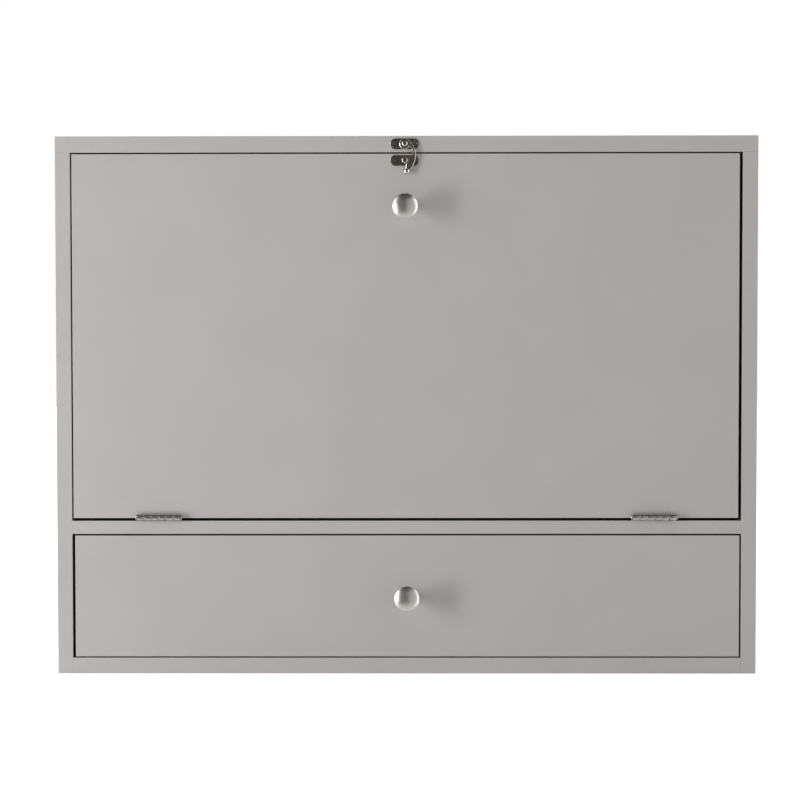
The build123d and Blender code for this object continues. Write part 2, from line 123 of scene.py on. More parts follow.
def blendLevel(tree, factor, first, second):
    # first where factor is 0, second where it is 1
    keep = calc(tree, "MULTIPLY", calc(tree, "SUBTRACT", 1.0, factor), first)
    return calc(tree, "ADD", keep, calc(tree, "MULTIPLY", factor, second))


def stretch(tree, where, scale, shift=(0, 0, 0)):
    return put(tree, "Mapping", {"Vector": where, "Scale": scale, "Location": shift}).outputs[0]


def rgba(color):
    return (*color, 1.0)


# ---- shared effects
def makePaintSkin():
    # sprayed lacquer: a fine peel over slow waves of the board under it
    tree, given, out = newGroup(
        "paintSkin",
        [("Coordinates", "Vector", None), ("Peel Scale", "Float", 900.0), ("Wave Scale", "Float", 14.0)],
        [("Height", "Float"), ("Unevenness", "Float"), ("Speckle", "Float")])
    peel = noise(tree, given["Coordinates"], given["Peel Scale"], 1.5, 0.4)
    nib = noise(tree, given["Coordinates"], calc(tree, "MULTIPLY", given["Peel Scale"], 2.7), 1.0)
    wave = noise(tree, given["Coordinates"], given["Wave Scale"], 3.0, 0.55)
    height = calc(tree, "ADD", peel, calc(tree, "MULTIPLY", nib, 0.35))
    tree.links.new(calc(tree, "ADD", height, calc(tree, "MULTIPLY", wave, 0.8)), out["Height"])
    tree.links.new(wave, out["Unevenness"])
    tree.links.new(spread(tree, nib, 0.68, 0.80), out["Speckle"])
    return tree


def makeEdgeHighlightAndWear():
    # 1 along outer edges, broken up by noise
    tree, given, out = newGroup(
        "edgeHighlightAndWear",
        [("Coordinates", "Vector", None), ("Width", "Float", 0.0006), ("Patch Scale", "Float", 60.0),
         ("Patchiness", "Float", 0.5)],
        [("Mask", "Float")])
    rounded = put(tree, "Bevel", {"Radius": given["Width"]}, samples=4).outputs[0]
    plain = put(tree, "NewGeometry").outputs["Normal"]
    turn = put(tree, "VectorMath", {0: rounded, 1: plain}, operation="DOT_PRODUCT").outputs["Value"]
    edge = spread(tree, turn, 0.995, 0.88)
    patch = spread(tree, noise(tree, given["Coordinates"], given["Patch Scale"], 4.0, 0.6), 0.42, 0.62)
    missing = calc(tree, "MULTIPLY", given["Patchiness"], calc(tree, "SUBTRACT", 1.0, patch))
    keep = calc(tree, "SUBTRACT", 1.0, missing)
    tree.links.new(calc(tree, "MULTIPLY", edge, keep), out["Mask"])
    return tree


def makeFineScratches():
    # hairline handling marks in two directions
    tree, given, out = newGroup(
        "fineScratches",
        [("Coordinates", "Vector", None), ("Scale", "Float", 220.0), ("Amount", "Float", 0.5)],
        [("Mask", "Float")])
    marks = []
    for shift, squeeze in (((0.3, 0.1, 0.7), (1.0, 0.06, 0.05)), ((0.9, 0.4, 0.2), (0.07, 1.0, 0.08))):
        where = stretch(tree, given["Coordinates"], squeeze, shift)
        marks.append(spread(tree, noise(tree, where, given["Scale"], 3.0, 0.7), 0.63, 0.72))
    both = calc(tree, "MAXIMUM", marks[0], marks[1])
    tree.links.new(calc(tree, "MULTIPLY", both, given["Amount"]), out["Mask"])
    return tree


def makeTarnish():
    # cloudy oxide with darker specks
    tree, given, out = newGroup(
        "tarnish",
        [("Coordinates", "Vector", None), ("Cloud Scale", "Float", 90.0), ("Speck Scale", "Float", 900.0)],
        [("Mask", "Float"), ("Speck", "Float")])
    cloud = noise(tree, given["Coordinates"], given["Cloud Scale"], 6.0, 0.65)
    speck = noise(tree, given["Coordinates"], given["Speck Scale"], 2.0, 0.6)
    tree.links.new(spread(tree, cloud, 0.35, 0.68), out["Mask"])
    tree.links.new(spread(tree, speck, 0.60, 0.74), out["Speck"])
    return tree


def makeWoodGrain():
    # uneven growth bands across X, stretched along Y, with short dark pores
    tree, given, out = newGroup(
        "woodGrain",
        [("Coordinates", "Vector", None), ("Band Scale", "Float", 45.0),
         ("Light", "Color", rgba((0.6, 0.45, 0.3))), ("Dark", "Color", rgba((0.4, 0.28, 0.17)))],
        [("Color", "Color"), ("Height", "Float")])
    drift = noise(tree, stretch(tree, given["Coordinates"], (1.0, 0.16, 1.0)), 9.0, 3.0)
    flow = stretch(tree, given["Coordinates"], (1.0, 0.05, 1.0))
    warped = put(tree, "VectorMath", {0: flow, 3: 0.06}, operation="SCALE")
    tree.links.new(drift, warped.inputs["Scale"])
    moved = put(tree, "VectorMath", {0: flow, 1: warped.outputs[0]}, operation="ADD").outputs[0]
    streak = put(tree, "TexNoise", {"Vector": moved, "Scale": given["Band Scale"], "Detail": 5.0,
                                    "Roughness": 0.6, "Distortion": 0.5}).outputs["Fac"]
    pore = noise(tree, stretch(tree, given["Coordinates"], (1.0, 0.035, 1.0)), 1500.0, 2.0, 0.7)
    pores = spread(tree, pore, 0.58, 0.72)
    band = spread(tree, streak, 0.35, 0.68, 0.0, 0.7)
    shade = calc(tree, "ADD", band, calc(tree, "MULTIPLY", pores, 0.35))
    tree.links.new(mixColor(tree, shade, given["Light"], given["Dark"]), out["Color"])
    tree.links.new(calc(tree, "SUBTRACT", 1.0, shade), out["Height"])
    return tree


def makeJointShade():
    # 1 deep in narrow joints and gaps, where ambient occlusion finds shade: the mask for painted shade
    tree, given, out = newGroup("jointShade", [("Reach", "Float", 0.003)], [("Mask", "Float")])
    openness = put(tree, "AmbientOcclusion", {"Distance": given["Reach"]}, samples=6).outputs["AO"]
    tree.links.new(spread(tree, openness, 0.5, 0.2), out["Mask"])
    return tree


def makeSettledDust():
    # a thin pale film on faces that look up
    tree, given, out = newGroup(
        "settledDust",
        [("Coordinates", "Vector", None), ("Facing", "Vector", None), ("Amount", "Float", 0.3)],
        [("Mask", "Float")])
    up = put(tree, "SeparateXYZ", {0: given["Facing"]}).outputs["Z"]
    flat = spread(tree, up, 0.75, 1.0)
    fluff = spread(tree, noise(tree, given["Coordinates"], 70.0, 6.0, 0.75), 0.35, 0.75, 0.2, 1.0)
    film = calc(tree, "MULTIPLY", flat, fluff)
    tree.links.new(calc(tree, "MULTIPLY", film, given["Amount"]), out["Mask"])
    return tree


paintSkin = makePaintSkin()
edgeHighlightAndWear = makeEdgeHighlightAndWear()
fineScratches = makeFineScratches()
tarnish = makeTarnish()
woodGrain = makeWoodGrain()
jointShade = makeJointShade()
settledDust = makeSettledDust()
print("shared effects ready")


# ---- materials
def newMaterial(name):
    material = bpy.data.materials.new(name)
    material.use_nodes = True
    tree = material.node_tree
    shader = tree.nodes["Principled BSDF"]
    where = put(tree, "TexCoord").outputs
    return material, tree, shader, where


def addBump(tree, shader, height, depth):
    bump = put(tree, "Bump", {"Height": height, "Distance": depth, "Strength": 1.0})
    tree.links.new(bump.outputs[0], shader.inputs["Normal"])


greyPaint = {
    # the edge colour lightens the outer edges of the paint: thin paint at the arris and a painted highlight
    "color": (0.398, 0.378, 0.369), "pale": (0.412, 0.391, 0.382), "edge": (0.56, 0.54, 0.525),
    # the near-black joint colour, with its strength and reach below, is painted shade deep in narrow joints
    # and gaps
    "speck": (0.2, 0.19, 0.18), "dustColor": (0.62, 0.60, 0.57), "paintedShadeColor": (0.05, 0.045, 0.04),
    "roughness": (0.36, 0.46), "specular": 0.45, "peelDepth": 0.00001, "highlightAndWearAmount": 0.25, "edgeWidth": 0.7,
    "dust": 0.08, "paintedShade": 0.88, "paintedShadeReach": 8.0,
}


def makeGreyPaint(name, values):
    material, tree, shader, where = newMaterial(name)
    skin = useGroup(tree, paintSkin, {"Coordinates": where["Object"]})
    # lighter along the outer edges: thin paint at the arris and a painted highlight
    edgeTone = useGroup(tree, edgeHighlightAndWear, {"Coordinates": where["Object"], "Width": values["edgeWidth"] * mm,
                                     "Patch Scale": 34.0, "Patchiness": 0.75})
    dust = useGroup(tree, settledDust, {"Coordinates": where["Object"], "Facing": where["Normal"],
                                        "Amount": values["dust"]})
    scratches = useGroup(tree, fineScratches, {"Coordinates": where["Object"], "Scale": 60.0, "Amount": 0.5})
    # painted shade: the paint turns near black deep in narrow joints and gaps, where ambient occlusion finds
    # shade
    paintedShade = useGroup(tree, jointShade, {"Reach": values["paintedShadeReach"] * mm})
    tone = spread(tree, skin["Unevenness"], 0.3, 0.7)
    specks = calc(tree, "MULTIPLY", skin["Speckle"], 0.05)
    highlightAndRub = calc(tree, "MULTIPLY", edgeTone["Mask"], values["highlightAndWearAmount"])
    shadeAmount = calc(tree, "MULTIPLY", paintedShade["Mask"], values["paintedShade"])
    color = mixColor(tree, tone, rgba(values["color"]), rgba(values["pale"]))
    color = mixColor(tree, specks, color, rgba(values["speck"]))
    # painted highlight, with thin paint at the arris, along the outer edges
    color = mixColor(tree, highlightAndRub, color, rgba(values["edge"]))
    color = mixColor(tree, dust["Mask"], color, rgba(values["dustColor"]))
    # painted shade in the narrow joints and gaps
    color = mixColor(tree, shadeAmount, color, rgba(values["paintedShadeColor"]))
    tree.links.new(color, shader.inputs["Base Color"])
    rough = spread(tree, skin["Unevenness"], 0.3, 0.7, *values["roughness"])
    rough = calc(tree, "ADD", rough, calc(tree, "MULTIPLY", scratches["Mask"], 0.08))
    rough = calc(tree, "ADD", rough, calc(tree, "MULTIPLY", dust["Mask"], 0.3))
    tree.links.new(rough, shader.inputs["Roughness"])
    addBump(tree, shader, skin["Height"], values["peelDepth"])
    shader.inputs["Specular IOR Level"].default_value = values["specular"]
    return material


rawBoard = {"color": (0.36, 0.23, 0.125), "pale": (0.52, 0.37, 0.22), "fleck": (0.19, 0.115, 0.06),
            "roughness": (0.42, 0.82), "depth": 0.00006}


def makeBackBoard(name, paint, values):
    # hardboard: painted on the inside, bare and felted on the wall side
    material, tree, shader, where = newMaterial(name)
    skin = useGroup(tree, paintSkin, {"Coordinates": where["Object"]})
    tone = spread(tree, skin["Unevenness"], 0.3, 0.7)
    painted = mixColor(tree, tone, rgba(paint["color"]), rgba(paint["pale"]))
    fibre = noise(tree, stretch(tree, where["Object"], (1.0, 1.0, 0.5)), 520.0, 8.0, 0.75)
    felt = noise(tree, where["Object"], 38.0, 4.0, 0.6)
    bare = mixColor(tree, spread(tree, fibre, 0.35, 0.65), rgba(values["color"]), rgba(values["pale"]))
    bare = mixColor(tree, spread(tree, felt, 0.35, 0.7, 0.0, 0.35), bare, rgba(values["fleck"]))
    backward = put(tree, "SeparateXYZ", {0: where["Normal"]}).outputs["Y"]
    wallSide = spread(tree, backward, -0.2, -0.1)
    tree.links.new(mixColor(tree, wallSide, painted, bare), shader.inputs["Base Color"])
    tree.links.new(spread(tree, wallSide, 0.0, 1.0, *values["roughness"]), shader.inputs["Roughness"])
    addBump(tree, shader, calc(tree, "MULTIPLY", fibre, wallSide), values["depth"])
    return material


birch = {"light": (0.66, 0.52, 0.36), "dark": (0.50, 0.36, 0.22), "edgeTone": (0.72, 0.6, 0.45), "bands": 34.0,
         "roughness": (0.45, 0.62), "depth": 0.00003}
beech = {**birch, "light": (0.60, 0.42, 0.27), "dark": (0.42, 0.26, 0.15), "bands": 60.0,
         "roughness": (0.5, 0.65)}


def makeWood(name, values, turn=(0.0, 0.0, 0.0)):
    material, tree, shader, where = newMaterial(name)
    turned = put(tree, "Mapping", {"Vector": where["Object"], "Rotation": turn}).outputs[0]
    grain = useGroup(tree, woodGrain, {"Coordinates": turned, "Band Scale": values["bands"],
                                       "Light": rgba(values["light"]), "Dark": rgba(values["dark"])})
    edgeTone = useGroup(tree, edgeHighlightAndWear, {"Coordinates": where["Object"], "Width": 0.8 * mm, "Patch Scale": 50.0,
                                     "Patchiness": 0.5})
    color = mixColor(tree, calc(tree, "MULTIPLY", edgeTone["Mask"], 0.35), grain["Color"], rgba(values["edgeTone"]))
    tree.links.new(color, shader.inputs["Base Color"])
    smooth, rough = values["roughness"]
    tree.links.new(spread(tree, grain["Height"], 0.0, 1.0, rough, smooth), shader.inputs["Roughness"])
    addBump(tree, shader, grain["Height"], values["depth"])
    return material


polishedNickel = {"color": (0.72, 0.69, 0.65), "dull": (0.60, 0.565, 0.52), "roughness": (0.22, 0.31),
                  "bright": (0.82, 0.79, 0.74), "speck": (0.08, 0.07, 0.06), "scratch": 0.22, "cloud": 60.0,
                  "depth": 0.000002, "highlightAndWearAmount": 0.3, "edge": 0.35, "rim": 0.0}
hingeNickel = {**polishedNickel, "color": (0.66, 0.63, 0.60), "dull": (0.40, 0.37, 0.345),
               "roughness": (0.14, 0.32), "cloud": 240.0, "depth": 0.000005}
agedNickel = {**polishedNickel, "color": (0.34, 0.275, 0.225), "dull": (0.085, 0.060, 0.045),
              "roughness": (0.16, 0.40), "scratch": 0.3, "cloud": 420.0, "depth": 0.00003, "highlightAndWearAmount": 1.0,
              "edge": 0.3, "rim": 0.7}
hookNickel = {**agedNickel, "color": (0.36, 0.32, 0.285), "dull": (0.17, 0.135, 0.11),
              "roughness": (0.14, 0.26), "cloud": 300.0, "depth": 0.000006, "edge": 0.7, "rim": 1.0}
zincSteel = {**polishedNickel, "color": (0.66, 0.68, 0.69), "dull": (0.50, 0.53, 0.56),
             "roughness": (0.24, 0.42), "scratch": 0.4, "cloud": 120.0, "depth": 0.000005}
nailSteel = {**zincSteel, "color": (0.36, 0.36, 0.365), "dull": (0.20, 0.20, 0.205),
             "roughness": (0.42, 0.6)}
castZinc = {**polishedNickel, "color": (0.52, 0.53, 0.54), "dull": (0.40, 0.41, 0.42),
            "roughness": (0.4, 0.6), "scratch": 0.2, "cloud": 200.0, "depth": 0.00002, "highlightAndWearAmount": 0.4}


def makeMetal(name, values):
    # cloudy tarnish over bright metal, rubbed clean along the edges
    material, tree, shader, where = newMaterial(name)
    film = useGroup(tree, tarnish, {"Coordinates": where["Object"], "Cloud Scale": values["cloud"]})
    edgeTone = useGroup(tree, edgeHighlightAndWear, {"Coordinates": where["Object"], "Width": values["edge"] * mm,
                                     "Patch Scale": 300.0, "Patchiness": 0.4})
    scratches = useGroup(tree, fineScratches, {"Coordinates": where["Object"], "Scale": 900.0,
                                               "Amount": values["scratch"]})
    highlightAndRub = calc(tree, "MULTIPLY", edgeTone["Mask"], values["highlightAndWearAmount"])
    if values["rim"]:  # a plate that faces front or back shows bright metal on its rolled rim
        across = calc(tree, "ABSOLUTE", put(tree, "SeparateXYZ", {0: where["Normal"]}).outputs["Y"])
        highlightAndRub = calc(tree, "MAXIMUM", highlightAndRub, spread(tree, across, 0.96, 0.80, 0.0, values["rim"]))
    dull = calc(tree, "MULTIPLY", film["Mask"], calc(tree, "SUBTRACT", 1.0, highlightAndRub))
    color = mixColor(tree, dull, rgba(values["color"]), rgba(values["dull"]))
    color = mixColor(tree, calc(tree, "MULTIPLY", film["Speck"], 0.25), color, rgba(values["speck"]))
    color = mixColor(tree, calc(tree, "MULTIPLY", highlightAndRub, 0.7), color, rgba(values["bright"]))
    tree.links.new(color, shader.inputs["Base Color"])
    rough = spread(tree, dull, 0.0, 1.0, *values["roughness"])
    rough = calc(tree, "ADD", rough, calc(tree, "MULTIPLY", scratches["Mask"], 0.3))
    tree.links.new(rough, shader.inputs["Roughness"])
    addBump(tree, shader, calc(tree, "SUBTRACT", film["Mask"], scratches["Mask"]), values["depth"])
    shader.inputs["Metallic"].default_value = 1.0
    return material


powderCoat = {"color": (0.57, 0.565, 0.55), "pale": (0.64, 0.635, 0.62), "scuff": (0.34, 0.34, 0.335),
              "roughness": (0.34, 0.5), "depth": 0.00002}
whiteNylon = {"color": (0.66, 0.65, 0.61), "pale": (0.72, 0.71, 0.68), "scuff": (0.48, 0.46, 0.42),
              "roughness": (0.38, 0.55), "depth": 0.00001}


def makeCoating(name, values):
    # powder coat or moulded nylon: pebbled skin, rubbed at the edges
    material, tree, shader, where = newMaterial(name)
    skin = useGroup(tree, paintSkin, {"Coordinates": where["Object"], "Peel Scale": 1600.0,
                                      "Wave Scale": 40.0})
    edgeTone = useGroup(tree, edgeHighlightAndWear, {"Coordinates": where["Object"], "Width": 0.4 * mm, "Patch Scale": 160.0,
                                     "Patchiness": 0.8})
    tone = spread(tree, skin["Unevenness"], 0.3, 0.7)
    color = mixColor(tree, tone, rgba(values["color"]), rgba(values["pale"]))
    color = mixColor(tree, calc(tree, "MULTIPLY", edgeTone["Mask"], 0.7), color, rgba(values["scuff"]))
    tree.links.new(color, shader.inputs["Base Color"])
    rough = spread(tree, skin["Unevenness"], 0.3, 0.7, *values["roughness"])
    tree.links.new(rough, shader.inputs["Roughness"])
    addBump(tree, shader, skin["Height"], values["depth"])
    return material


quarter = math.pi / 2
paint = makeGreyPaint("greyPaint", greyPaint)
finishes = {
    "grey_paint": paint,
    "drawer_board": makeWood("birchAlongDepth", birch),
    "beech": makeWood("beechDowel", beech, (0.0, 0.0, quarter)),
    "polished_nickel": makeMetal("polishedNickel", polishedNickel),
    "aged_nickel": makeMetal("agedNickel", agedNickel),
    "zinc_steel": makeMetal("zincSteel", zincSteel),
    "cast_zinc": makeMetal("castZinc", castZinc),
    "white_steel": makeCoating("powderCoat", powderCoat),
    "white_nylon": makeCoating("whiteNylon", whiteNylon),
}
hookFinish = makeMetal("hookNickel", hookNickel)
hingeFinish = makeMetal("hingeNickel", hingeNickel)
special = {
    "latch_hook": hookFinish, "latch_pivot": hookFinish, "latch_catch_post": hookFinish,
    "hinge_leaf_fixed_left": hingeFinish, "hinge_leaf_fixed_right": hingeFinish,
    "hinge_leaf_flap_left": hingeFinish, "hinge_leaf_flap_right": hingeFinish,
    "hinge_pin_left": hingeFinish, "hinge_pin_right": hingeFinish,
    "back_panel_nails": makeMetal("nailSteel", nailSteel),
    "back_panel": makeBackBoard("backBoard", greyPaint, rawBoard),
    "drawer_back": makeWood("birchAlongWidth", birch, (0.0, 0.0, quarter)),
    "drawer_bottom": makeWood("birchPly", {**birch, "bands": 16.0}, (0.0, 0.0, quarter)),
}


def finishOf(node):
    # a node's own finish, or its slot's
    return special.get(node, finishes[slotOf[node]])


for node, holder in nodes.items():
    for materialSlot in holder.material_slots:
        materialSlot.material = finishOf(node)
print("materials placed on", len(nodes), "CAD nodes")


# ---- mesh helpers
def circlePoint(middle, radius, degrees):
    angle = math.radians(degrees)
    return (middle[0] + radius * math.cos(angle), middle[1] + radius * math.sin(angle))


def arcPoints(start, through, end, steps):
    # points of the circle through three points, from start to end, without start
    (ax, ay), (bx, by), (cx, cy) = start, through, end
    d = 2 * (ax * (by - cy) + bx * (cy - ay) + cx * (ay - by))
    a, b, c = ax ** 2 + ay ** 2, bx ** 2 + by ** 2, cx ** 2 + cy ** 2
    ux = (a * (by - cy) + b * (cy - ay) + c * (ay - by)) / d
    uy = (a * (cx - bx) + b * (ax - cx) + c * (bx - ax)) / d
    radius = math.hypot(ax - ux, ay - uy)
    angles = [math.atan2(y - uy, x - ux) for x, y in (start, through, end)]
    sweep = (angles[2] - angles[0]) % (2 * math.pi)
    if (angles[1] - angles[0]) % (2 * math.pi) > sweep:
        sweep -= 2 * math.pi
    turns = [angles[0] + sweep * step / steps for step in range(1, steps + 1)]
    return [(ux + radius * math.cos(a), uy + radius * math.sin(a)) for a in turns]


def lathe(shape, profile, place, segments):
    # turns (radius, height) points about local Z; a radius of 0 closes the end with one point
    rings = []
    for radius, height in profile:
        if radius < 1e-7:
            rings.append([shape.verts.new(place @ Vector((0, 0, height)))])
            continue
        steps = [2 * math.pi * i / segments for i in range(segments)]
        rings.append([shape.verts.new(place @ Vector((radius * math.cos(a), radius * math.sin(a), height)))
                      for a in steps])
    for low, high in zip(rings, rings[1:]):
        for i in range(segments):
            j = (i + 1) % segments
            corners = [low[i % len(low)], low[j % len(low)], high[j % len(high)], high[i % len(high)]]
            face = shape.faces.new(list(dict.fromkeys(corners)))
            face.smooth = True


def facing(point, outward):
    # a frame at point whose local Z looks along outward
    return Matrix.Translation(point) @ Vector(outward).to_track_quat("Z", "Y").to_matrix().to_4x4()


def meshFrom(shape, name):
    mesh = bpy.data.meshes.new(name)
    shape.to_mesh(mesh)
    shape.free()
    return mesh


def standIn(piece, node):
    # the piece takes over the CAD node's body and the finish of its slot
    bpy.context.scene.collection.objects.link(piece)
    piece.data.materials.append(finishOf(node))
    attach(piece, bodyOf[node])
    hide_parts(node)


def solidCopy(node):
    # the CAD node's shape as clean joined faces
    shape = bmesh.new()
    shape.from_mesh(nodes[node].data)
    bmesh.ops.remove_doubles(shape, verts=shape.verts, dist=0.001 * mm)
    flat = math.radians(0.5)
    bmesh.ops.dissolve_limit(shape, angle_limit=flat, verts=shape.verts, edges=shape.edges)
    return shape


def easedPiece(node, width):
    # sheet metal and castings: the CAD shape with its sharp edges rolled over
    shape = solidCopy(node)
    mesh = meshFrom(shape, node)
    mesh.shade_smooth()
    piece = bpy.data.objects.new(node + "_eased", mesh)
    ease = piece.modifiers.new("easedEdges", "BEVEL")
    ease.width = width
    ease.segments = 3
    ease.limit_method = "ANGLE"
    ease.angle_limit = math.radians(38)
    ease.use_clamp_overlap = True
    ease.harden_normals = True
    standIn(piece, node)


easedNodes = {  # radius of the rolled edge, in millimetres
    "hinge_leaf_fixed_left": 0.18, "hinge_leaf_fixed_right": 0.18,
    "hinge_leaf_flap_left": 0.18, "hinge_leaf_flap_right": 0.18,
    "latch_top_plate": 0.16, "latch_bottom_plate": 0.16,
    "stay_left": 0.3, "stay_right": 0.3, "stay_pin_left": 0.35, "stay_pin_right": 0.35, "stay_rivets": 0.35,
    "stay_bracket_left": 0.25, "stay_bracket_right": 0.25,
    "slide_rail_left": 0.2, "slide_rail_right": 0.2, "drawer_runner_left": 0.2, "drawer_runner_right": 0.2,
}
for node, width in easedNodes.items():
    easedPiece(node, width * mm)
print("eased metal pieces:", len(easedNodes))


# ---- knobs
knob = {  # millimetres
    "headRadius": 12.25, "out": 25.0, "crownRadius": 20.8, "rimRadius": 1.0, "underside": (11.0, 16.4),
    "flare": (8.4, 13.4), "neck": (5.1, 6.8), "footRadius": 7.4, "footHeight": 1.2, "footEdge": 0.3,
    "segments": 128,
}


def knobProfile():
    # foot, waisted neck, underside, rolled rim and crown, from the panel outwards
    edge, crownRadius, rimRadius = knob["footEdge"], knob["crownRadius"], knob["rimRadius"]
    lean = math.degrees(math.asin((knob["headRadius"] - rimRadius) / (crownRadius - rimRadius)))
    crownMiddle = (0.0, knob["out"] - crownRadius)
    rimMiddle = circlePoint(crownMiddle, crownRadius - rimRadius, 90 - lean)
    rim = [circlePoint(rimMiddle, rimRadius, degrees) for degrees in (-30, 20, 90 - lean)]
    crown = [circlePoint(crownMiddle, crownRadius, degrees) for degrees in (90 - lean / 2, 90)]
    # middles of the foot's two rounded edges
    low = (knob["footRadius"] - edge, edge)
    high = (knob["footRadius"] - edge, knob["footHeight"] - edge)
    points = [(0.0, 0.0), (knob["footRadius"] - edge, 0.0)]
    points += arcPoints(points[-1], circlePoint(low, edge, -45), circlePoint(low, edge, 0), 4)
    points += [circlePoint(high, edge, 0)]
    points += arcPoints(points[-1], circlePoint(high, edge, 45), circlePoint(high, edge, 90), 4)
    points += arcPoints(points[-1], knob["neck"], knob["flare"], 18)
    points += arcPoints(points[-1], knob["underside"], rim[0], 12)
    points += arcPoints(points[-1], rim[1], rim[2], 12)
    points += arcPoints(points[-1], crown[0], crown[1], 24)[:-1]
    points.append((0.0, knob["out"]))
    return [(radius * mm, height * mm) for radius, height in points]


def buildKnob(node):
    low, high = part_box(node)
    at = Vector(((low.x + high.x) / 2, high.y, (low.z + high.z) / 2))
    shape = bmesh.new()
    lathe(shape, knobProfile(), facing(at, (0, -1, 0)), knob["segments"])
    bmesh.ops.recalc_face_normals(shape, faces=shape.faces)
    standIn(bpy.data.objects.new(node + "_turned", meshFrom(shape, node)), node)


for node in ("flap_knob", "drawer_knob"):
    buildKnob(node)
print("knobs turned")


# ---- latch hook: a rolled bar between a drilled hub and a ball, drawn about its stud
hook = {  # millimetres and degrees
    "standOff": 1.8, "thickness": 1.8, "edge": 0.85, "backRoll": 0.25, "hubRadius": 5.3, "hubRise": 0.06,
    "bore": 1.65, "back": ((3.4, 4.1), (10.8, -11.6), (4.3, -26.2)), "root": (4.5, -2.8),
    "throat": (7.9, -8.8), "finger": (5.0, -13.4), "post": (0.0, -16.2), "notchRadius": 3.25,
    "notch": (16, -25, -66), "heel": (0.6, -25.0), "ball": (2.0, -27.0), "ballRadius": 2.95,
    "ballOut": 1.85, "narrowest": 0.46, "rollSteps": 5,
}


def straight(start, end, steps):
    return [tuple(Vector(start).lerp(Vector(end), step / steps)) for step in range(1, steps + 1)]


def hookEdges():
    # matching points down the inner and the outer edge
    notch = [circlePoint(hook["post"], hook["notchRadius"], degrees) for degrees in hook["notch"]]
    inner = [hook["root"]] + arcPoints(hook["root"], hook["throat"], hook["finger"], 26)
    inner += straight(hook["finger"], notch[0], 4)
    inner += arcPoints(*notch, 14)
    inner += straight(notch[2], hook["heel"], 10)
    start, middle, end = hook["back"]
    curve = [start] + arcPoints(start, middle, end, 400)
    outer = []
    for x, y in inner:
        way = (y - hook["root"][1]) / (hook["heel"][1] - hook["root"][1])
        level = start[1] + way * (end[1] - start[1])
        outer.append(min(curve, key=lambda point: abs(point[1] - level)))
    return inner, outer


def hookSection(outer, inner):
    # one cut through the bar, rolled over on the front and eased on the back
    outer, inner = Vector(outer), Vector(inner)
    wide = (inner - outer).length
    edge = min(hook["edge"], hook["narrowest"] * wide)
    ease, top, steps = hook["backRoll"], hook["thickness"], hook["rollSteps"]
    half = [(ease, 0.0), (0.0, ease)]
    for step in range(steps + 1):
        angle = step * quarter / steps
        half.append((edge * (1 - math.cos(angle)), top - edge + edge * math.sin(angle)))
    across = half + [(wide - x, z) for x, z in reversed(half)]
    inward = (inner - outer).normalized()
    return [Vector((*(outer + inward * x), z)) * mm for x, z in across]


def addBar(shape, place):
    inner, outer = hookEdges()
    cuts = [[shape.verts.new(place @ point) for point in hookSection(a, b)] for a, b in zip(outer, inner)]
    for upper, lower in zip(cuts, cuts[1:]):
        for i in range(len(upper)):
            j = (i + 1) % len(upper)
            shape.faces.new((upper[i], upper[j], lower[j], lower[i]))
    shape.faces.new(cuts[0])
    shape.faces.new(cuts[-1])


def addHub(shape, place):
    hub, bore, edge, ease = hook["hubRadius"], hook["bore"], hook["edge"], hook["backRoll"]
    top = hook["thickness"] + hook["hubRise"]
    washer = [(bore, 0.0), (hub - ease, 0.0), (hub, ease), (hub, top - edge)]
    washer += arcPoints(washer[-1], circlePoint((hub - edge, top - edge), edge, 45), (hub - edge, top), 8)
    washer += [(bore + ease, top), (bore, top - ease), (bore, 0.0)]
    lathe(shape, [(radius * mm, height * mm) for radius, height in washer], place, 72)


def addBall(shape, place):
    radius, (x, y) = hook["ballRadius"], hook["ball"]
    side = arcPoints((0.0, -radius), (radius, 0.0), (0.0, radius), 24)[:-1]
    ball = [(0.0, -radius)] + side + [(0.0, radius)]
    centre = place @ Matrix.Translation(Vector((x, y, hook["ballOut"])) * mm)
    lathe(shape, [(max(0.0, across) * mm, height * mm) for across, height in ball], centre, 48)


def buildHook(node):
    low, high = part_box("latch_pivot")
    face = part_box("flap_panel")[0].y - hook["standOff"] * mm
    stud = Matrix.Translation(((low.x + high.x) / 2, face, (low.z + high.z) / 2))
    place = stud @ Matrix(((1, 0, 0), (0, 0, -1), (0, 1, 0))).to_4x4()
    shape = bmesh.new()
    addBar(shape, place)
    addHub(shape, place)
    addBall(shape, place)
    bmesh.ops.remove_doubles(shape, verts=shape.verts, dist=0.002 * mm)
    bmesh.ops.recalc_face_normals(shape, faces=shape.faces)
    mesh = meshFrom(shape, node)
    mesh.shade_smooth()
    mesh.set_sharp_from_angle(angle=math.radians(38))
    piece = bpy.data.objects.new(node + "_forged", mesh)
    flat = piece.modifiers.new("flatFaces", "WEIGHTED_NORMAL")
    flat.keep_sharp = True
    flat.weight = 100
    standIn(piece, node)


buildHook("latch_hook")
print("hook forged")


# ---- screws with cross recesses
def islands(node):
    # the box of each separate solid in a CAD node
    shape = bmesh.new()
    shape.from_mesh(nodes[node].data)
    bmesh.ops.remove_doubles(shape, verts=shape.verts, dist=0.001 * mm)
    boxes = []
    seen = set()
    for first in shape.verts:
        if first in seen:
            continue
        seen.add(first)
        reached = [first]
        for vert in reached:
            fresh = [edge.other_vert(vert) for edge in vert.link_edges]
            fresh = [other for other in fresh if other not in seen]
            seen.update(fresh)
            reached.extend(fresh)
        corners = [[vert.co[axis] for vert in reached] for axis in range(3)]
        boxes.append((Vector(map(min, corners)), Vector(map(max, corners))))
    shape.free()
    return boxes


crossScrew = {  # shares of the head's radius, then millimetres
    "arm": 0.20, "reach": 0.62, "recess": 0.55, "taper": 0.45, "flat": 0.94, "segments": 40,
    "rim": ((0.02, 0.08), (0.08, 0.16)), "shank": 1.4,
}


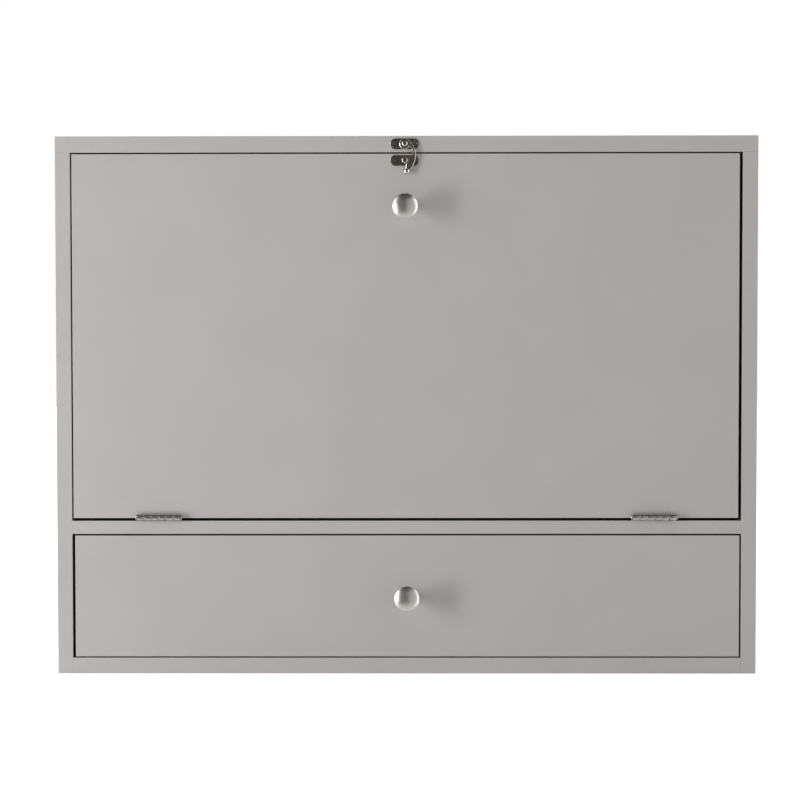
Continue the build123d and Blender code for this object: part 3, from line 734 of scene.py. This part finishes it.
def crossLoop(radius, depth):
    # the twelve corners of a cross recess
    arm, reach = crossScrew["arm"] * radius, crossScrew["reach"] * radius
    quadrant = [(reach, -arm), (reach, arm), (arm, arm)]
    corners = []
    for turn in range(4):
        spin = Matrix.Rotation(turn * quarter, 2)
        corners += [spin @ Vector(corner) for corner in quadrant]
    return [Vector((corner.x, corner.y, -depth)) for corner in corners]


def addScrew(shape, head, outward, headRadius, length):
    # flat head with a rounded rim, cross recess, cone and shank
    place = facing(head, outward)
    flat, shank, count = headRadius * crossScrew["flat"], crossScrew["shank"] * mm, crossScrew["segments"]
    turns = [2 * math.pi * i / count for i in range(count)]
    circle = [Vector((flat * math.cos(turn), flat * math.sin(turn), 0.0)) for turn in turns]
    low = crossLoop(headRadius * crossScrew["taper"], headRadius * crossScrew["recess"])
    ring, mouth, floor = [[shape.verts.new(place @ corner) for corner in corners]
                          for corners in (circle, crossLoop(headRadius, 0.0), low)]
    loops = [shape.edges.new((loop[i], loop[(i + 1) % len(loop)]))
             for loop in (ring, mouth) for i in range(len(loop))]
    outwards = place.to_3x3() @ Vector((0, 0, 1))
    bmesh.ops.triangle_fill(shape, edges=loops, use_beauty=True, normal=outwards)
    for i in range(len(mouth)):
        j = (i + 1) % len(mouth)
        shape.faces.new((mouth[i], mouth[j], floor[j], floor[i]))
    shape.faces.new(floor)
    rim = [(headRadius - inset * mm, -depth * mm) for inset, depth in crossScrew["rim"]]
    cone = [(shank, shank - headRadius), (shank, shank - length), (0.0, -length)]
    lathe(shape, [(flat, 0.0)] + rim + cone, place, count)


screwSets = {  # which way each set is driven: a direction, or along X away from or towards the middle
    "hinge_screws_shelf": (0, 0, -1), "hinge_screws_flap": (0, 0, 1), "stay_bracket_screws": (0, -1, 0),
    "slide_rail_screws": "outward", "drawer_runner_screws": "inward", "drawer_screws": "inward",
}


def buildScrews(node, driven):
    # one screw in the box of each CAD screw
    shape = bmesh.new()
    for low, high in islands(node):
        middle = (low + high) / 2
        if driven == "outward":
            into = Vector((math.copysign(1, middle.x), 0, 0))
        elif driven == "inward":
            into = Vector((-math.copysign(1, middle.x), 0, 0))
        else:
            into = Vector(driven)
        size = high - low
        length = abs(size.dot(into))
        addScrew(shape, middle - into * length / 2, -into, sorted(size)[1] / 2, length)
    bmesh.ops.remove_doubles(shape, verts=shape.verts, dist=0.002 * mm)
    bmesh.ops.recalc_face_normals(shape, faces=shape.faces)
    mesh = meshFrom(shape, node)
    mesh.shade_smooth()
    mesh.set_sharp_from_angle(angle=math.radians(30))
    standIn(bpy.data.objects.new(node + "_cross", mesh), node)


for node, driven in screwSets.items():
    buildScrews(node, driven)
print("screws made:", len(screwSets), "sets")


# ---- floor, light, camera
studio = {
    "floorSize": 14.0, "floorColor": (0.93, 0.93, 0.925), "floorFleck": 0.985,
    "floorGlow": 0.10, "floorLift": 1.0,  # how brightly the floor lights the desk, and looks to the lens
    "room": {"ahead": 0.18, "right": 0.52, "sides": 0.95, "below": 0.80, "above": 0.08},
    "zones": {  # where a part of the room fades in, by the ray's direction
        "right": (0.0, 0.35), "sides": (-0.60, -0.30), "below": (-0.35, -0.80), "above": (0.50, 0.80),
    },
    "mirroredSides": 2.4, "backdrop": 1.0,
    "lights": {  # place, aim, size, watts, whether metal mirrors it
        "keySoftbox": ((-2.00, -1.05, 0.22), (0.0, -0.09, 0.22), (0.48, 1.6), 45.2, True),
        "fillSoftbox": ((1.20, -1.00, 0.40), (0.0, -0.09, 0.27), (1.2, 1.2), 2.4, False),
        "overheadSoftbox": ((0.0, -0.2, 2.6), (0.0, 0.0, 0.0), (3.0, 3.0), 28.0, False),
    },
}


def buildFloor():
    shape = bmesh.new()
    bmesh.ops.create_grid(shape, x_segments=8, y_segments=8, size=studio["floorSize"] / 2)
    mesh = meshFrom(shape, "studioFloor")
    floor = bpy.data.objects.new("studioFloor", mesh)
    bpy.context.scene.collection.objects.link(floor)
    material, tree, shader, where = newMaterial("floorPaper")
    grain = spread(tree, noise(tree, where["Object"], 400.0, 4.0, 0.6), 0.3, 0.7)
    fleck = [channel * studio["floorFleck"] for channel in studio["floorColor"]]
    color = mixColor(tree, grain, rgba(studio["floorColor"]), rgba(fleck))
    tree.links.new(color, shader.inputs["Base Color"])
    shader.inputs["Roughness"].default_value = 0.9
    shader.inputs["Specular IOR Level"].default_value = 0.1
    shader.inputs["Emission Color"].default_value = (1.0, 1.0, 1.0, 1.0)
    seen = put(tree, "LightPath").outputs["Is Camera Ray"]
    glow = spread(tree, seen, 0.0, 1.0, studio["floorGlow"], studio["floorLift"])
    tree.links.new(glow, shader.inputs["Emission Strength"])
    mesh.materials.append(material)
    floor.visible_shadow = False  # the tall key light reaches below the floor
    floor.visible_glossy = False  # metal mirrors the room's soft lower half instead of a hard horizon


def buildLights():
    for name, (place, aim, size, watts, reflected) in studio["lights"].items():
        data = bpy.data.lights.new(name, "AREA")
        data.shape = "RECTANGLE"
        data.size, data.size_y = size
        data.energy = watts
        lamp = bpy.data.objects.new(name, data)
        lamp.location = place
        lamp.rotation_mode = "QUATERNION"
        lamp.rotation_quaternion = (Vector(aim) - Vector(place)).to_track_quat("-Z", "Y")
        lamp.visible_glossy = reflected
        bpy.context.scene.collection.objects.link(lamp)


def buildWorld():
    # the lens sees a white sweep, and the desk a room that is dark in front and above and pale at the sides
    world = bpy.data.worlds.new("studioWorld")
    world.use_nodes = True
    tree = world.node_tree
    background = tree.nodes["Background"]
    room, zones = studio["room"], studio["zones"]
    toward = put(tree, "SeparateXYZ", {0: put(tree, "TexCoord").outputs["Generated"]}).outputs
    rays = put(tree, "LightPath").outputs
    sides = spread(tree, rays["Is Glossy Ray"], 0.0, 1.0, room["sides"], studio["mirroredSides"])
    level = spread(tree, toward["X"], *zones["right"], room["ahead"], room["right"])
    level = blendLevel(tree, spread(tree, toward["Y"], *zones["sides"]), level, sides)
    level = blendLevel(tree, spread(tree, toward["Z"], *zones["below"]), level, room["below"])
    level = blendLevel(tree, spread(tree, toward["Z"], *zones["above"]), level, room["above"])
    level = blendLevel(tree, rays["Is Camera Ray"], level, studio["backdrop"])
    tree.links.new(level, background.inputs["Strength"])
    background.inputs["Color"].default_value = (1.0, 1.0, 1.0, 1.0)
    bpy.context.scene.world = world


cameraRig = {  # metres, degrees and millimetres
    "fromFront": 1.900, "aside": 0.0077, "height": 0.3355, "pitchDown": 1.945, "turnLeft": 0.418,
    "roll": -0.057, "lens": 86.9, "sensor": 36.0,
}


def buildCamera():
    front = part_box("left_side")[0].y
    data = bpy.data.cameras.new("camera")
    data.lens = cameraRig["lens"]
    data.sensor_width = cameraRig["sensor"]
    data.clip_start, data.clip_end = 0.05, 60.0
    camera = bpy.data.objects.new("camera", data)
    turn = Matrix.Rotation(math.radians(cameraRig["turnLeft"]), 4, "Z")
    tilt = Matrix.Rotation(math.radians(90 - cameraRig["pitchDown"]), 4, "X")
    roll = Matrix.Rotation(math.radians(cameraRig["roll"]), 4, "Z")
    place = Matrix.Translation((cameraRig["aside"], front - cameraRig["fromFront"], cameraRig["height"]))
    camera.matrix_world = place @ turn @ tilt @ roll
    bpy.context.scene.collection.objects.link(camera)
    bpy.context.scene.camera = camera


buildFloor()
buildLights()
buildWorld()
buildCamera()
bpy.context.scene.view_settings.view_transform = "Standard"
print("studio ready")
